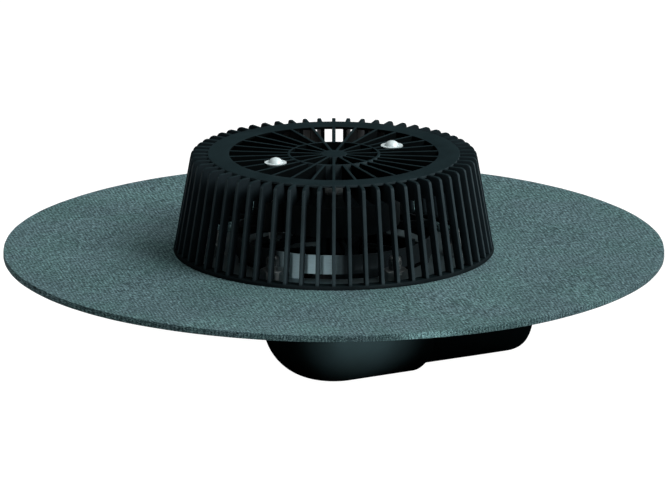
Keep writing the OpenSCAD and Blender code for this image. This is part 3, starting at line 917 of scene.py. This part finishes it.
polished_steel, tree, place = start_material("stainless_steel_polished")
swirl = add_node(
    tree, "ShaderNodeTexNoise", {"Vector": place, "Scale": 1000 / SWIRL_MM, "Detail": 2.0}
)
tone = add_node(tree, "ShaderNodeValToRGB", {"Fac": swirl.outputs["Fac"]})
for stop, colour in zip(tone.color_ramp.elements, (POLISHED_DIM, POLISHED)):
    stop.color = linear(colour)
rough = add_node(
    tree,
    "ShaderNodeMapRange",
    {
        "Value": swirl.outputs["Fac"],
        "From Min": NOISE_LOW,
        "From Max": NOISE_HIGH,
        "To Min": POLISHED_ROUGH[0],
        "To Max": POLISHED_ROUGH[1],
    },
)
shader = add_node(
    tree,
    "ShaderNodeBsdfPrincipled",
    {"Base Color": tone.outputs["Color"], "Roughness": rough.outputs["Result"], "Metallic": 0.25},
)
end_material(tree, shader)
dress("basket_screws", polished_steel)
dress("screw_washers", polished_steel)
dress("ear_washers", zinc_steel)
dress("basket_nuts", zinc_steel)

# Floor, light and camera ---------------------------------------------------------------
# A wide pale floor under three soft suns: the key high on the right, a fainter one from behind
# and one overhead. Two small spots from the front lift the sump and the baffle ring.

FLOOR_HALF = 25.0
FLOOR_PALE = "#b4b4b4"
FLOOR_GLOW = 0.75  # share of plain white that the eye and mirrors see, which keeps the shadow faint
FLOOR_WHITE = 1.34  # strength at which that white just fills the view's range

floor_mesh = bpy.data.meshes.new("pale_floor")
corners = FLOOR_HALF * np.array([(-1, -1, 0), (1, -1, 0), (1, 1, 0), (-1, 1, 0)], float)
floor_mesh.from_pydata(corners, [], [(0, 1, 2, 3)])
floor = bpy.data.objects.new("pale_floor", floor_mesh)
bpy.context.scene.collection.objects.link(floor)

floor_paint, tree, place = start_material("floor_pale_paint")
paint = add_node(
    tree,
    "ShaderNodeBsdfPrincipled",
    {"Base Color": linear(FLOOR_PALE), "Roughness": 1.0, "Specular IOR Level": 0.0},
)
white = add_node(
    tree, "ShaderNodeEmission", {"Color": (1.0, 1.0, 1.0, 1.0), "Strength": FLOOR_WHITE}
)
path = add_node(tree, "ShaderNodeLightPath")
seen = path.outputs["Is Camera Ray"]
for ray in ("Is Glossy Ray", "Is Transmission Ray"):
    seen = add_node(
        tree, "ShaderNodeMath", {0: seen, 1: path.outputs[ray]}, operation="MAXIMUM"
    ).outputs[0]
share = add_node(tree, "ShaderNodeMath", {0: seen, 1: FLOOR_GLOW}, operation="MULTIPLY")
mixed = add_node(
    tree,
    "ShaderNodeMixShader",
    {0: share.outputs[0], 1: paint.outputs["BSDF"], 2: white.outputs["Emission"]},
)
add_node(tree, "ShaderNodeOutputMaterial", {"Surface": mixed.outputs["Shader"]})
floor_mesh.materials.append(floor_paint)

world = bpy.data.worlds.new("studio")
bpy.context.scene.world = world
world.use_nodes = True
background = world.node_tree.nodes["Background"]
background.inputs["Color"].default_value = (1.0, 1.0, 1.0, 1.0)
background.inputs["Strength"].default_value = 0.02

VIEW_AZIMUTH, VIEW_ELEVATION = 330, 15  # degrees
azimuth, elevation = np.radians(VIEW_AZIMUTH), np.radians(VIEW_ELEVATION)
right = np.array([np.cos(azimuth), np.sin(azimuth), 0])
back = np.array(
    [np.sin(azimuth) * np.cos(elevation), -np.cos(azimuth) * np.cos(elevation), np.sin(elevation)]
)
up = np.cross(back, right)


def lamp_way(bearing, height):
    """Unit vector towards a lamp: bearing is its angle from the view's right towards the viewer,
    and height its elevation, in degrees."""
    b, h = np.radians(bearing), np.radians(height)
    toward = np.array([right[1], -right[0], 0])
    return (right * np.cos(b) + toward * np.sin(b)) * np.cos(h) + np.array([0, 0, np.sin(h)])


def hang_lamp(light, way, place=(0, 0, 0)):
    """Put a lamp at a place, shining against the way that leads to it."""
    lamp = bpy.data.objects.new(light.name, light)
    lamp.location = place
    lamp.rotation_mode = "QUATERNION"
    lamp.rotation_quaternion = Vector(way).to_track_quat("Z", "Y")
    bpy.context.scene.collection.objects.link(lamp)


for name, bearing, height, spread, power in (
    ("key_lamp", 27, 46, 30, 2.45),
    ("rim_lamp", -45, 35, 40, 0.9),
    ("top_lamp", 0, 88, 60, 0.85),
):
    light = bpy.data.lights.new(name, "SUN")
    light.energy, light.angle = power, np.radians(spread)
    hang_lamp(light, lamp_way(bearing, height))

SPOT_DISTANCE = 1.2
SPOT_RADIUS = 0.02
SPOT_BLEND = 0.6  # share of the beam over which its edge fades
for name, bearing, height, target, beam, power in (
    ("sump_spot", 76, 1, (0.007, -0.019, 0.052), 43 * MM, 260.0),
    ("ring_spot", 94, 14, (-0.052, -0.054, 0.103), 24 * MM, 22.0),
):
    light = bpy.data.lights.new(name, "SPOT")
    light.energy, light.shadow_soft_size = power, SPOT_RADIUS
    light.spot_size, light.spot_blend = 2 * np.arctan(beam / SPOT_DISTANCE), SPOT_BLEND
    way = lamp_way(bearing, height)
    hang_lamp(light, way, np.array(target) + way * SPOT_DISTANCE)

LENS = 1200.0  # a very long lens, so that the drain is seen without foreshortening
SENSOR = 36.0
VIEW_WIDTH = 0.5064248  # metres across the view at the drain
AIM_RIGHT = 0.92 * MM  # the view's middle from the roof level on the drain axis
AIM_DOWN = 0.8 * MM
distance = LENS / SENSOR * VIEW_WIDTH
aim = np.array([0, 0, ROOF_Z]) + right * AIM_RIGHT - up * AIM_DOWN
camera_data = bpy.data.cameras.new("camera")
camera_data.lens, camera_data.sensor_width = LENS, SENSOR
camera_data.clip_start, camera_data.clip_end = 1.0, 100.0
camera = bpy.data.objects.new("camera", camera_data)
bpy.context.scene.collection.objects.link(camera)
camera.matrix_world = Matrix.Translation(aim + back * distance) @ Matrix(
    np.stack([right, up, back], axis=1).tolist()
).to_4x4()
bpy.context.scene.camera = camera
bpy.context.scene.view_settings.view_transform = "Standard"
